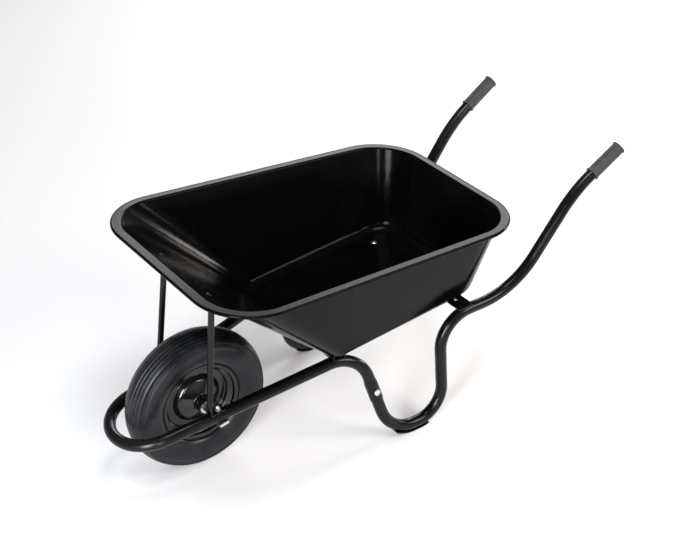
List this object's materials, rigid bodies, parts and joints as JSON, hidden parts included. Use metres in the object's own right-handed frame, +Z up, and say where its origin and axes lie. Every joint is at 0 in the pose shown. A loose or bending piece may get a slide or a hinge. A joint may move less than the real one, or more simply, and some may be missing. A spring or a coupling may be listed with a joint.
{
  "type": "wheelbarrow",
  "caption": "Builder's wheelbarrow with a deep black steel tray, a bent tube frame with a loop round the wheel, flat-ended stays and one pneumatic wheel.",
  "frame": {"origin": "on the ground, under the middle of the overall box", "axes": "+X forward to the wheel, +Y to the left of someone pushing, +Z up"},
  "size_m": [1.4517, 0.6702, 0.6805],
  "materials": {
    "powder_coat": "gloss",
    "frame_coat": "satin",
    "rim_coat": "gloss",
    "rubber": "semi-matte",
    "tube_rubber": "matte",
    "grip": "matte",
    "spacer": "satin",
    "zinc": "bright zinc plate",
    "bearing_steel": "ground"
  },
  "bodies": {
    "frame": {"tray": "powder_coat", "front_loop": "frame_coat", "leg_handle_left": "frame_coat", "leg_handle_right": "frame_coat", "rear_strap": "frame_coat", "front_member": "frame_coat", "stay_left": "frame_coat", "stay_right": "frame_coat", "foot_shoe_left": "frame_coat", "foot_shoe_right": "frame_coat", "grip_left": "grip", "grip_right": "grip", "axle": "zinc", "axle_spacer_left": "spacer", "axle_spacer_right": "spacer", "axle_bolts": "zinc", "axle_washers": "zinc", "axle_nuts": "zinc", "leg_joint_bolts": "zinc", "leg_joint_washers": "zinc", "leg_joint_nuts": "zinc", "tray_floor_bolts": "zinc", "tray_floor_nuts": "zinc", "tray_front_bolts": "powder_coat", "tray_front_nuts": "zinc"},
    "wheel": {"tyre": "rubber", "inner_tube": "tube_rubber", "rim_half_left": "rim_coat", "rim_half_right": "rim_coat", "hub": "rim_coat", "bearing_left": "bearing_steel", "bearing_right": "bearing_steel", "valve_stem": "zinc", "valve_cap": "spacer"}
  },
  "joints": [
    {"name": "wheel_spin", "type": "hinge", "parent": "frame", "child": "wheel", "pos_m": [0.4756, 0, 0.195], "axis": [0, 1, 0], "continuous": true}
  ]
}
